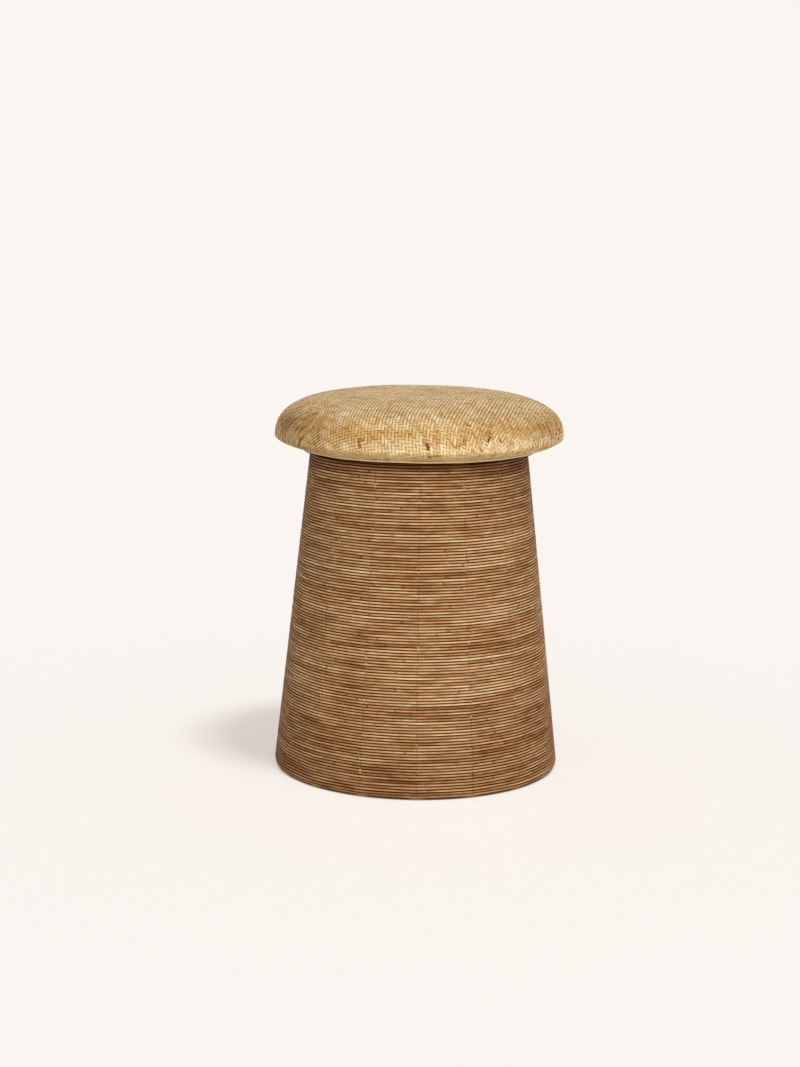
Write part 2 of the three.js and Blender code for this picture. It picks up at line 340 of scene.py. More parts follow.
def tube(name, centres, outwards, wide, tall, along, bays, sides):
    """A tube through centres. Each ring is wide outwards and tall upwards; along is its UV in metres."""
    rings = len(centres)
    angle = np.arange(sides) / sides * FULL_TURN
    side = -np.cos(angle)[None, :, None] * outwards[:, None, :] * wide[:, None, None]
    lift = np.zeros((rings, sides, 3))
    lift[:, :, 2] = np.sin(angle)[None, :] * tall[:, None]
    points = (centres[:, None, :] + side + lift).reshape(-1, 3)
    ring, corner = np.meshgrid(np.arange(rings - 1), np.arange(sides), indexing="ij")
    after = (corner + 1) % sides
    quads = np.stack([
        ring * sides + corner,
        (ring + 1) * sides + corner,
        (ring + 1) * sides + after,
        ring * sides + after,
    ], -1).reshape(-1, 4)
    ends = [list(range(sides)), list(range(rings * sides - 1, (rings - 1) * sides - 1, -1))]
    u = np.stack([along[ring], along[ring + 1], along[ring + 1], along[ring]], -1)
    v = np.stack([corner, corner, corner + 1, corner + 1], -1) / sides
    uv = np.vstack([np.stack([u, v], -1).reshape(-1, 2), np.zeros((2 * sides, 2))])
    bays_wound = {"bays_wound": np.repeat(bays, sides)}
    mesh = smooth_mesh(name, points, quads.tolist() + ends, "along_cane", uv, bays_wound)
    mesh.validate()
    return place_in_scene(name, mesh)


rng = np.random.default_rng(11)
print("a turn climbs", round(turn_climb / MM, 2), "mm")

# %% Wind the body's cane
SLATS = 16
RINGS_PER_TURN = 160
CANE_SIDES = 10
WINDING_PARTS = 3
# How much of the way from a circle to straight sides the cane goes between two slats.
STRAIGHTNESS = 0.3
# Past its last full turn the cane runs on as a wedge, down to these shares of its height and width.
EXTRA_TURN = 0.97
THINNEST, NARROWEST = 0.08, 0.4
# The cane's centre lies this many of its radii inside the cone, so that its crests stay in the frame.
INSET = 1.02
# How far the cane strays and how much its thickness changes, and over what length of cane, in metres.
LONG_STRAY, LONG_STRAY_OVER = 0.10 * MM, 0.07
SHORT_STRAY, SHORT_STRAY_OVER = 0.05 * MM, 0.021
FATTER, FATTER_OVER = 0.035, 0.11

turns = np.arange(0, turn_count + EXTRA_TURN, 1 / RINGS_PER_TURN)
azimuth = turns * FULL_TURN
from_mid_bay = np.abs((turns * SLATS) % 1 - 0.5) * FULL_TURN / SLATS
straight = math.cos(math.pi / SLATS) / np.cos(from_mid_bay)
bay = 1 - STRAIGHTNESS * (1 - straight)
low_edge = np.maximum(body_low + (turns - 1) * turn_climb, body_low)
high_edge = np.minimum(body_low + turns * turn_climb, body_high)
height = (low_edge + high_edge) / 2
share = np.clip((high_edge - low_edge) / turn_climb, THINNEST, 1)
cone = FOOT_RADIUS - body_slope * (height - body_low)
run = np.concatenate([[0], np.cumsum(np.diff(azimuth) * cone[1:])])
stray = LONG_STRAY * smooth_noise(run, LONG_STRAY_OVER) + SHORT_STRAY * smooth_noise(run, SHORT_STRAY_OVER)
fatness = 1 + FATTER * smooth_noise(run, FATTER_OVER)
radius = cone * bay - INSET * CANE_RADIUS + stray
outwards = np.stack([np.cos(azimuth), np.sin(azimuth), np.zeros_like(azimuth)], -1)
centres = outwards * radius[:, None]
centres[:, 2] = height
wide = CANE_RADIUS * fatness * (NARROWEST + (1 - NARROWEST) * share)
tall = CANE_RADIUS * share
cuts = np.linspace(0, len(turns) - 1, WINDING_PARTS + 1).astype(int)
winding = []
for k in range(WINDING_PARTS):
    part = slice(cuts[k], cuts[k + 1] + 1)
    winding.append(tube(
        f"wound_cane_{k + 1}", centres[part], outwards[part], wide[part], tall[part], run[part],
        turns[part] * SLATS, CANE_SIDES,
    ))
print("length of cane", round(float(run[-1]), 1), "m")

# %% [markdown]
# The cane is rattan core: a pale wood-coloured round reed, sanded and rubbed with a brown stain that
# was wiped off the crests and stayed in the grooves, where painted shade between the turns darkens it
# further. The crests come first. Patterns that run along the cane give each stretch its own tone and
# hue and draw the fibres, and the tone jumps a little where two lengths are joined on a slat. Patches
# over several turns are redder. The patterns differ only in size, so they stand in one table.

# %% Tone the cane along its length
# Each pattern: how often it changes in a metre of cane and on the way round it, where it starts, its
# detail and its roughness. A tone lasts about 170 mm, a hue 80, a darker or lighter groove of stain and
# painted shade 110, a worn stretch 30 and a fibre 8.
CANE_PATTERNS = {
    "tone": ((6.0, 0.4, 1.0), (0.0, 0.0, 0.0), 5.0, 0.68),
    "hue": ((13.0, 0.5, 1.0), (3.3, 9.1, 0.0), 3.0, 0.6),
    "stain": ((9.0, 0.3, 1.0), (8.1, 2.7, 0.0), 2.0, 0.5),
    "worn": ((32.0, 0.0, 1.0), (0.0, 7.7, 0.0), 1.0, 0.5),
    "fibre": ((120.0, 9.0, 1.0), (0.0, 0.0, 0.0), 4.0, 0.7),
}
# Patches are about 110 mm wide and 40 mm high.
PATCHES_PER_METRE = (9.0, 9.0, 26.0)
# How far the tone may jump at a slat.
JUMP = 0.05


def cane_patterns(tree, uv):
    patterns = {}
    for name, (often, start, detail, roughness) in CANE_PATTERNS.items():
        at = add(tree, "VectorMath", {"operation": "MULTIPLY_ADD", 1: often, 2: start}, {0: uv})
        settings = NOISE_2D | {"Detail": detail, "Roughness": roughness}
        patterns[name] = add(tree, "TexNoise", settings, {"Vector": at})
    return patterns


def crest_colour(tree, patterns, place):
    """The colour of the cane's crest, before wear."""
    bays_wound = add(tree, "Attribute", {"attribute_name": "bays_wound"})
    bay_number = add(tree, "Math", {"operation": "FLOOR"}, {0: bays_wound.outputs["Fac"]})
    jump = add(tree, "TexWhiteNoise", {"noise_dimensions": "1D"}, {"W": bay_number})
    jump = add(tree, "MapRange", {3: -JUMP, 4: JUMP}, {0: jump.outputs["Value"]})
    tone = add(tree, "Math", {"operation": "ADD"}, {0: patterns["tone"], 1: jump})
    crest = add(tree, "ValToRGB", links={0: tone})
    set_ramp(crest, (0.24, "8e6238"), (0.38, "ae8254"), (0.49, "c49d6d"), (0.60, "d4b287"), (0.76, "e6d0aa"))
    patch_at = add(tree, "Mapping", {"Scale": PATCHES_PER_METRE}, {"Vector": place})
    patch = add(tree, "TexNoise", {"Scale": 1.0, "Detail": 3.0, "Roughness": 0.55}, {"Vector": patch_at})
    red = add(tree, "ValToRGB", links={0: patch})
    set_ramp(red, (0.36, "cc9a76"), (0.50, "f4e6d2"), (0.68, "ffffff"))
    toned = add(tree, "Mix", TINT | {0: 0.4}, {6: crest, 7: red})
    # Along one cane the stain also turned redder here and more olive there.
    hues = add(tree, "ValToRGB", links={0: patterns["hue"]})
    set_ramp(hues, (0.34, "f6dcca"), (0.47, "ffffff"), (0.54, "ffffff"), (0.66, "eee8c4"))
    toned = add(tree, "Mix", TINT | {0: 0.45}, {6: toned, 7: hues})
    streaks = add(tree, "MapRange", {1: 0.3, 2: 0.7, 3: 0.74, 4: 1.16}, {0: patterns["fibre"]})
    return add(tree, "VectorMath", {"operation": "SCALE"}, {0: toned, 3: streaks})


print("patterns along the cane:", ", ".join(CANE_PATTERNS))

# %% [markdown]
# Then comes what was done to the cane. On some short stretches the stain was rubbed off the crest, and
# on others dirt stayed. In the grooves between two turns the colour is nearly black, partly stain and
# partly painted shade where the turns touch, darker in one stretch than in the next. Where on its round
# a point lies is the second number of its UV: 0.5 is the crest, and at 0.25 and 0.75 the cane touches
# the next turns.

# %% Wear the crests, and stain and shade the grooves
def wear_stain_and_shade(tree, colour, patterns, around):
    bare = add(tree, "MapRange", {1: 0.62, 2: 0.74, 4: 0.26}, {0: patterns["worn"]})
    dirty = add(tree, "MapRange", {1: 0.40, 2: 0.27, 4: 0.38}, {0: patterns["worn"]})
    for where, hex_colour in ((bare, "e8cf9a"), (dirty, "6d5730")):
        colour = add(tree, "Mix", LAYER | {7: linear(hex_colour)}, {0: where, 6: colour})
    off_crest = add(tree, "Math", {"operation": "SUBTRACT", 1: 0.5}, {0: around})
    off_crest = add(tree, "Math", {"operation": "ABSOLUTE"}, {0: off_crest})
    # From the crest into the groove: the stain, and painted shade where the turns touch.
    groove_stain_and_shade = add(tree, "ValToRGB", links={0: off_crest})
    set_ramp(
        groove_stain_and_shade, (0.065, "ffffff"), (0.135, "906238"), (0.18, "361504"), (0.24, "120702"),
        (0.34, "120702"), (0.44, "b8926a"),
    )
    # The stain pattern sets how dark a stretch of groove is, its stain and its painted shade together.
    thick = add(tree, "MapRange", {1: 0.36, 2: 0.52, 3: 0.8}, {0: patterns["stain"]})
    return add(tree, "Mix", TINT, {0: thick, 6: colour, 7: groove_stain_and_shade})


print("a worn stretch is about", round(1000 / CANE_PATTERNS["worn"][0][0]), "mm long")

# %% [markdown]
# Some marks have a fixed place. A cane has knots, short dark rings. Where it crosses one of the sixteen
# slats it is pinned, and there the upright lines of dark nicks are, with a bare dot here and there
# beside them, where the cane was wiped. Under the rim the turns are painted darker, as painted shade
# from the cap above them, and towards the foot the cane is a little darker too.

# %% Mark the knots and the pins, paint shade under the rim, and darken the foot
KNOTS_PER_METRE = 2.5
NICKS_PER_METRE = 230.0
# The darker bands, painted shade under the rim and a darker tone at the foot: how far they reach down
# from the neck, and up from the foot.
RIM_SHADE_TO, RIM_SHADE_FROM, FOOT_SHADE = 21 * MM, 1 * MM, 120 * MM


def mark_cane(tree, colour, along, place):
    knot_at = add(tree, "Math", TIMES | {1: KNOTS_PER_METRE}, {0: along})
    knot = add(tree, "TexVoronoi", {"voronoi_dimensions": "1D", "Scale": 1.0}, {"W": knot_at})
    near_knot = add(tree, "MapRange", {1: 0.0015, 2: 0.006, 3: 0.55, 4: 0.0}, {0: knot.outputs["Distance"]})
    # The pins' lines are where the bearing comes to a whole number of bays.
    spot = add(tree, "SeparateXYZ", links={0: place}).outputs
    bearing = add(tree, "Math", {"operation": "ARCTAN2"}, {0: spot[1], 1: spot[0]})
    bays = add(tree, "Math", TIMES | {1: SLATS / FULL_TURN}, {0: bearing})
    off_line = add(tree, "Math", {"operation": "PINGPONG", 1: 0.5}, {0: bays})
    near_line = add(tree, "MapRange", {1: 0.006, 2: 0.016, 3: 0.75, 4: 0.0}, {0: off_line})
    nicks = add(tree, "TexNoise", {"Scale": NICKS_PER_METRE, "Detail": 1.0}, {"Vector": place})
    nicked = add(tree, "MapRange", {1: 0.44, 2: 0.6, 3: 0.15}, {0: nicks})
    on_line = add(tree, "Math", TIMES, {0: near_line, 1: nicked})
    beside = add(tree, "MapRange", {1: 0.014, 2: 0.026, 3: 1.0, 4: 0.0}, {0: off_line})
    chosen = add(tree, "MapRange", {1: 0.63, 2: 0.68, 4: 0.6}, {0: nicks})
    dotted = add(tree, "Math", TIMES, {0: beside, 1: chosen})
    # Painted shade: the cap's shadow on the top turns under the rim.
    painted_shade_under_rim = add(tree, "MapRange", {
        1: body_high - RIM_SHADE_TO, 2: body_high - RIM_SHADE_FROM,
    }, {0: spot[2]})
    at_foot = add(tree, "MapRange", {1: body_low, 2: body_low + FOOT_SHADE, 3: 1.0, 4: 0.0}, {0: spot[2]})
    for where, way, hex_colour in (
        (near_knot, LAYER, "4a2a16"), (on_line, LAYER, "55331b"), (dotted, LAYER, "e8cf9e"),
        (painted_shade_under_rim, TINT, "c0a488"), (at_foot, TINT, "dad0c6"),
    ):
        colour = add(tree, "Mix", way | {7: linear(hex_colour)}, {0: where, 6: colour})
    return colour


print("knots are about", round(1000 / KNOTS_PER_METRE), "mm apart")

# %% [markdown]
# The surface was only sanded and stained, so it is nearly matte, with a faint bloom at a low angle. The
# fibres give its small change of roughness and its bumps.

# %% Make the stained rattan
def stained_rattan():
    material, tree = new_material("stained_rattan_core")
    uv = add(tree, "UVMap", {"uv_map": "along_cane"})
    cane = add(tree, "SeparateXYZ", links={0: uv}).outputs
    place = add(tree, "TexCoord").outputs["Object"]
    patterns = cane_patterns(tree, uv)
    colour = crest_colour(tree, patterns, place)
    colour = wear_stain_and_shade(tree, colour, patterns, cane[1])
    colour = mark_cane(tree, colour, cane[0], place)
    rough = add(tree, "MapRange", {1: 0.3, 2: 0.7, 3: 0.7, 4: 0.55}, {0: patterns["fibre"]})
    bump = add(tree, "Bump", {"Strength": 0.35, "Distance": 0.3 * MM}, {"Height": patterns["fibre"]})
    shader = add(tree, "BsdfPrincipled", {
        "IOR": 1.5, "Specular IOR Level": 0.07,
        "Sheen Weight": 0.05, "Sheen Roughness": 0.3, "Sheen Tint": linear("f0d8b0"),
    }, {"Base Color": colour, "Roughness": rough, "Normal": bump})
    add(tree, "OutputMaterial", links={"Surface": shader})
    return material


rattan = stained_rattan()
for piece in winding:
    finish_piece(piece, rattan, "wound_cane", "cane_winding")

# %% [markdown]
# The dome is a low curve, fuller than an ellipse, that turns under at its rim. Its outline is worked
# out once, at even steps along the curve from the crown to the rim, because the form under the weave
# and the weave itself both follow it.

# %% Draw the dome's outline
# How full the curve is: a power of 2 would make an ellipse.
ACROSS_POWER, UP_POWER, UNDER_POWER = 3.65, 2.47, 1.43
WIDEST_OVER_BOARD = 8.9 * MM
OUTLINE_STEPS = 400
widest_height = board_high + WIDEST_OVER_BOARD


def cap_outline(steps_under, steps_up):
    """The cap's outline from its rim out to the widest ring and up to the crown."""
    turn = np.linspace(math.pi / 2, 0, steps_under, endpoint=False)
    under_r = rim_radius + (cap_radius - rim_radius) * np.cos(turn) ** (2 / UNDER_POWER)
    under_z = widest_height - (widest_height - cap_rim) * np.sin(turn) ** (2 / UNDER_POWER)
    turn = np.linspace(math.pi / 2, 0, steps_up)
    up_r = cap_radius * np.sin(turn) ** (2 / ACROSS_POWER)
    up_z = widest_height + (cap_crown - widest_height) * np.cos(turn) ** (2 / UP_POWER)
    return np.concatenate([under_r, up_r]), np.concatenate([under_z, up_z])


fine_r, fine_z = cap_outline(steps_under=240, steps_up=2400)
arc = np.concatenate([[0], np.cumsum(np.hypot(np.diff(fine_r), np.diff(fine_z)))])
arc = arc[-1] - arc
arc, fine_r, fine_z = arc[::-1], fine_r[::-1], fine_z[::-1]
even = np.linspace(0, arc[-1], OUTLINE_STEPS)
even_r, even_z = np.interp(even, arc, fine_r), np.interp(even, arc, fine_z)
slope_r, slope_z = np.gradient(even_r, even), np.gradient(even_z, even)
size = np.hypot(slope_r, slope_z)
even_nr, even_nz = -slope_z / size, slope_r / size
net_radius = float(even[-1])
print("from crown to rim along the weave", round(net_radius / MM, 1), "mm")

# %% [markdown]
# Under the weave is a turned form, a low dome with a flat underside. It shows only as a darker tone
# in the slits between the strips, so it is a plain revolve: its outline is drawn as a chain of
# vertices, spun round the axis in edit mode, and the seam is merged.

# %% Spin the form under the weave
FORM_INSET = 2.3 * MM
FORM_RINGS, FORM_SIDES = 34, 96
form_floor = board_high + SEAT_GAP
picks = np.linspace(0, OUTLINE_STEPS - 1, FORM_RINGS).astype(int)
form_r = np.maximum(even_r[picks] - even_nr[picks] * FORM_INSET, 0)
form_z = np.maximum(even_z[picks] - even_nz[picks] * FORM_INSET, form_floor)
chain = [(r, 0, z) for r, z in zip(form_r, form_z)] + [(0, 0, form_floor)]
mesh = bpy.data.meshes.new("turned_form")
mesh.from_pydata(chain, [(k, k + 1) for k in range(len(chain) - 1)], [])
form = place_in_scene("turned_form", mesh)
deselect_all()
form.select_set(True)
bpy.context.view_layer.objects.active = form
bpy.ops.object.mode_set(mode="EDIT")
bpy.ops.mesh.select_all(action="SELECT")
bpy.ops.mesh.spin(steps=FORM_SIDES, angle=FULL_TURN, center=(0, 0, 0), axis=(0, 0, 1))
bpy.ops.mesh.select_all(action="SELECT")
bpy.ops.mesh.remove_doubles(threshold=0.01 * MM)
bpy.ops.mesh.normals_make_consistent(inside=False)
bpy.ops.object.mode_set(mode="OBJECT")
bpy.ops.object.shade_smooth()
print("the form has", len(form.data.polygons), "faces")

# %% [markdown]
# The seat's cover is a net of split cane, woven flat and pulled down over the form while damp. These
# functions take a point of the flat net to the dome. Distances from the middle are kept. On the four
# sides of the net the strips keep their width too, as cloth does, and the spare width is gathered at
# its four corners. In front the net drifted to the left. On top it lies open, and at its two ends the
# strips are pushed together into wrinkles that run from the front to the back.

# %% Lay the flat net on the dome
NET_TURN = math.radians(-10)
MOST_GATHER = 0.6
DRIFT, DRIFT_AT, DRIFT_LONG = 4.7 * MM, -162 * MM, 42 * MM
# The two ends set in at this share of the net's radius, over that share.
END_FROM, END_OVER = 0.58, 0.2
CREASE_SPACING, CREASE_DEPTH = 10.5 * MM, 0.9 * MM
OPEN_WITHIN, OPEN_FADE = 172 * MM, 30 * MM
SWELL = 0.28 * MM
NET_SINK = 0.1 * MM


def unevenness(x, y):
    """How far the damp net stands off its mean surface, in metres: a few slow swells."""
    return SWELL * (np.sin(41 * x + 1.3) * np.sin(37 * y + 0.4) + 0.6 * np.sin(73 * x - 29 * y + 2.1))


def crease_at(x, y):
    """Counts the wrinkles that run over the net's two ends, from the front to the back."""
    wander = 2.2 * MM * np.sin(31 * x + 1) + 2.0 * MM * np.sin(47 * y + np.sign(x))
    return (y + wander) / CREASE_SPACING


def near_end(x):
    """From 0 to 1, how near a point is to the net's left or right end."""
    return np.clip((np.abs(x) / net_radius - END_FROM) / END_OVER, 0, 1)


def crease_depth(x, y):
    return CREASE_DEPTH * near_end(x) * (0.5 + 0.5 * np.cos(FULL_TURN * crease_at(x, y))) ** 2


def openness(x, y):
    """From 0 to 1, how far the strips stand apart: the net lies open on top and tight at the rim."""
    flat = np.clip((OPEN_WITHIN - np.hypot(x, y)) / OPEN_FADE, 0, 1)
    return flat * (0.8 + 0.2 * np.sin(53 * x + 1) * np.sin(61 * y))


def lay_on_dome(x, y, lift):
    """Takes points of the flat net, with their lift off it, to the dome."""
    x = x - DRIFT * np.exp(-((y - DRIFT_AT) / DRIFT_LONG) ** 2)
    reach_out = np.minimum(np.hypot(x, y), net_radius)
    bearing = np.arctan2(y, x)
    r = np.interp(reach_out, even, even_r)
    z = np.interp(reach_out, even, even_z)
    nr = np.interp(reach_out, even, even_nr)
    nz = np.interp(reach_out, even, even_nz)
    gather = np.clip(reach_out / np.maximum(r, 1e-6) - 1, 0, MOST_GATHER)
    bearing = bearing + gather * np.sin(4 * bearing) / 4 + NET_TURN
    off = lift - NET_SINK + unevenness(x, y) - crease_depth(x, y)
    r, z = r + nr * off, z + nz * off
    return np.stack([r * np.cos(bearing), r * np.sin(bearing), z], -1)


print("the flat net is", round(2 * net_radius / MM), "mm across")

# %% [markdown]
# The weave is a two-over-two-under twill. A texture could only draw it, so the strips are modelled.
# Each one is a low ribbon that rides over two and under two, and the twill comes from starting each
# ribbon one step later than its neighbour. The stretch that lies over two others is a float. No two
# strips are the same colour, and no two floats either, least of all at the net's two ends.

# %% Tone the strips
# The two sets: spacing, tone, how much narrower a strip is where the net lies open, and how its tone
# and its width change at the net's two ends.
WARP = {"pitch": 4.0 * MM, "tone": 0.57, "opening": 0.1, "end_tone": -0.06, "end_crowding": 0.35}
WEFT = {"pitch": 3.85 * MM, "tone": 0.49, "opening": 0.16, "end_tone": 0.2, "end_crowding": 0.0}
STRIP_SPREAD, FLOAT_SPREAD, END_CONTRAST = 0.035, 0.07, 1.2
# Floats that stand out: place on the flat net in mm, whether it crosses, and its tone. They have gone
# brown, and the one with a tone below 0 is a split strip with a dark slit beside it.
MARKED_FLOATS = [
    (43, -186, False, 0.12), (42, -203, False, 0.22), (113, -149, False, -0.40), (122, -140, True, 0.33),
    (113, -166, True, 0.29), (-38.5, -188, False, 0.25), (-39, -182, True, 0.34), (-104, -119, True, 0.24),
]
weave_rng = np.random.default_rng(5)


def strip_tones(own_set, u, v, phase, crossing):
    """The tone at each sample of one strip, which lies at u and runs along v."""
    number = np.round((phase - 0.5) / 4 + (0.5 if crossing else 0)).astype(int)
    number -= number.min()
    float_tone = weave_rng.normal(0, FLOAT_SPREAD, number.max() + 1)
    own = weave_rng.normal(own_set["tone"], STRIP_SPREAD)
    tone = own + float_tone
    for mark_x, mark_y, mark_crosses, mark_tone in MARKED_FLOATS:
        mark_u, mark_v = (mark_y, mark_x) if mark_crosses else (mark_x, mark_y)
        if mark_crosses == crossing and abs(mark_u * MM - u) < own_set["pitch"] / 2:
            tone[number[np.abs(v - mark_v * MM).argmin()]] = mark_tone
    tone = tone[number]
    return tone + END_CONTRAST * (tone - own) * near_end(v if crossing else u)


print(len(MARKED_FLOATS), "floats stand out")

# %% Weave the net
STRIP_SAMPLES = 2
STRIP_SHARE = 0.965
WIDTH_SPREAD = (-0.07, 0.05)
SIDE_SHIFT = 0.12 * MM
STRIP_THICKNESS = 0.38 * MM
RIDE = 0.18 * MM
RIDE_STEEPNESS = 1.3
SPLIT_WIDTH = 0.45
# The middle of a strip is crowned. Its four corners: place across its width, rise, and UV round it.
ACROSS = np.array([-0.5, -0.27, 0.27, 0.5])
RISE = np.array([-0.35, 0.5, 0.5, -0.35]) * STRIP_THICKNESS
AROUND = np.array([0, 0.25, 0.75, 1, 0])
# On top, where the net lies open, the tones are more alike.
OPEN_TONE, OPEN_EVENNESS = 0.56, 0.4


def strip_skin(v, other_pitch, crossing):
    """The faces between a strip's sections, and their UV, which counts the crossings along it."""
    k, corner = np.meshgrid(np.arange(len(v) - 1), np.arange(4), indexing="ij")
    after = (corner + 1) % 4
    faces = np.stack([k * 4 + corner, k * 4 + after, (k + 1) * 4 + after, (k + 1) * 4 + corner], -1)
    start, end = v[k] / other_pitch, v[k + 1] / other_pitch
    near, far_side = AROUND[corner], AROUND[corner + 1]
    uv_u, uv_v = np.stack([start, start, end, end], -1), np.stack([near, far_side, far_side, near], -1)
    uv = np.stack([uv_u, uv_v], -1)
    if crossing:
        faces, uv = faces[:, :, ::-1], uv[:, :, ::-1]
    return faces.reshape(-1, 4), uv.reshape(-1, 2)


def weave_strips(name, half_net, crossing):
    """One set of ribbons as a single piece. Crossing ribbons run along X and lie the other way up."""
    points, faces, uvs, tones, creases = [], [], [], [], []
    count = 0
    own_set, other_set = (WEFT, WARP) if crossing else (WARP, WEFT)
    pitch, other_pitch = own_set["pitch"], other_set["pitch"]
    each_side = int(net_radius / pitch)
    for number in np.array_split(np.arange(-each_side, each_side), 2)[half_net]:
        u = (number + 0.5) * pitch
        half = math.sqrt(net_radius**2 - u * u) if abs(u) < net_radius else 0
        if half < pitch:
            continue
        step = other_pitch / STRIP_SAMPLES
        inner = (np.arange(-math.floor(half / step), math.floor(half / step)) + 0.5) * step
        v = np.concatenate([[-half], inner[np.abs(inner) < half - 0.3 * step], [half]])
        phase = number + v / other_pitch - 0.5
        wave = np.clip(RIDE_STEEPNESS * np.cos(FULL_TURN * (phase - 0.5) / 4), -1, 1)
        lift = RIDE * (-wave if crossing else wave)
        tone = strip_tones(own_set, u, v, phase, crossing)
        width = pitch * STRIP_SHARE * (1 + weave_rng.uniform(*WIDTH_SPREAD))
        shift = weave_rng.uniform(-1, 1) * SIDE_SHIFT
        place_x, place_y = (v, u) if crossing else (u, v)
        width = width * (1 - own_set["opening"] * openness(place_x, place_y))
        width = width * np.where(tone < 0, SPLIT_WIDTH, 1)
        width = width * (1 - own_set["end_crowding"] * near_end(place_x))
        x = u + ACROSS[None, :] * width[:, None] + shift
        y = np.broadcast_to(v[:, None], (len(v), 4))
        if crossing:
            x, y = y, x
        laid = lay_on_dome(x, y, lift[:, None] + RISE[None, :]).reshape(-1, 3)
        plain = OPEN_EVENNESS * openness(x, y)
        tone = tone[:, None] * (1 - plain) + OPEN_TONE * plain + own_set["end_tone"] * near_end(x)
        strip_faces, strip_uv = strip_skin(v, other_pitch, crossing)
        points.append(laid)
        faces.append(strip_faces + count)
        uvs.append(strip_uv)
        tones.append(tone.ravel())
        creases.append(crease_at(x, y).ravel())
        count += len(laid)
    mesh = smooth_mesh(
        name, np.concatenate(points), np.concatenate(faces).tolist(), "along_strip", np.concatenate(uvs),
        {"strip_tone": np.concatenate(tones), "crease_at": np.concatenate(creases)},
    )
    return place_in_scene(name, mesh)


net = [
    weave_strips("weave_warp_left", 0, False),
    weave_strips("weave_warp_right", 1, False),
    weave_strips("weave_weft_front", 0, True),
    weave_strips("weave_weft_back", 1, True),
]
print("the net has", sum(len(piece.data.polygons) for piece in net), "faces")

# %% [markdown]
# Split cane keeps the outer skin of the rattan: straw-coloured, hard and slightly shiny, with fine
# lines along it. Strips from different canes differ in tone, each strip changes slowly along its
# length, and here and there a piece has gone brown. Spots and broad patches, where both sets are
# more golden or greyer together, lie over that.

# %% Colour the split cane
MEAN_PITCH = 3.9 * MM
# Along a strip the tone changes each 12 mm, and the strip's own tone picks where in the pattern it lies.
CHANGES_PER_METRE = 80.0
APART = 57.0
# Spots are about 10 mm wide, and patches 60 mm.
SPOTS_PER_METRE, PATCHES_OF_NET = 95.0, 17.0


def straw_colour(tree, crossings, place):
    """The strips' colour before dirt and wear, with the two patterns that run along them."""
    tone = add(tree, "Attribute", {"attribute_name": "strip_tone"}).outputs["Fac"]
    own_at = add(tree, "Math", TIMES | {1: APART}, {0: tone})
    along_at = add(tree, "Math", TIMES | {1: MEAN_PITCH * CHANGES_PER_METRE}, {0: crossings})
    slow_at = add(tree, "CombineXYZ", links={0: along_at, 1: own_at})
    slow = add(tree, "TexNoise", NOISE_2D | {"Detail": 3.0, "Roughness": 0.7}, {"Vector": slow_at})
    change = add(tree, "Math", {"operation": "MULTIPLY_ADD", 1: 0.5, 2: -0.25}, {0: slow})
    mixed = add(tree, "Math", {"operation": "ADD"}, {0: change, 1: tone})
    golden = add(tree, "TexNoise", {"Scale": SPOTS_PER_METRE, "Detail": 2.0}, {"Vector": place})
    golden = add(tree, "MapRange", {1: 0.3, 2: 0.7, 3: -0.1, 4: 0.1}, {0: golden})
    mixed = add(tree, "Math", {"operation": "ADD"}, {0: mixed, 1: golden})
    straw = add(tree, "ValToRGB", links={0: mixed})
    set_ramp(
        straw, (0.00, "4a2008"), (0.10, "683c18"), (0.22, "986c32"), (0.36, "be9a5c"),
        (0.48, "cfb383"), (0.60, "d9c49a"), (0.72, "e0d1b0"), (0.88, "ebe0ca"),
    )
    patch = add(tree, "TexNoise", {"Scale": PATCHES_OF_NET, "Detail": 3.0, "Roughness": 0.6}, {
        "Vector": place,
    })
    patched = add(tree, "ValToRGB", links={0: patch})
    set_ramp(patched, (0.34, "e2d0b0"), (0.50, "f7efe0"), (0.64, "ffffff"))
    toned = add(tree, "Mix", TINT | {0: 0.7}, {6: straw, 7: patched})
    return toned, slow, along_at


print("a strip changes each", round(1000 / CHANGES_PER_METRE, 1), "mm")

# %% [markdown]
# Painted shade darkens the strips' edges, and the dips of the crossing strips, more on top, where the
# net lies open. The two ends, where the strips are pushed together, are browner, partly as dirt and
# partly as painted shade, and the left one, on the side away from the light, is painted darkest. There
# the gaps and the wrinkles' bottoms are broken lines of painted shade.

# %% Soil the net and paint its shade
# The top sets in this far under the crown, and is full here.
TOP_FROM, TOP_FULL = 24 * MM, 12 * MM
# How far to the side the brown and painted shade of the ends and the wrinkles set in, and where they
# are full. The left end gets more painted shade, as the side away from the light.
BROWN_FROM, BROWN_FULL = 100 * MM, 165 * MM
LEFT_SHADE_FROM, LEFT_SHADE_FULL = 50 * MM, 120 * MM
WRINKLED_FROM, WRINKLED_FULL = 120 * MM, 145 * MM
# The patterns that break the painted shade in the gaps change about each 17 mm, and the wrinkles' each 24
# mm.
GAPS_PER_METRE, BREAKS_PER_METRE = 60.0, 42.0


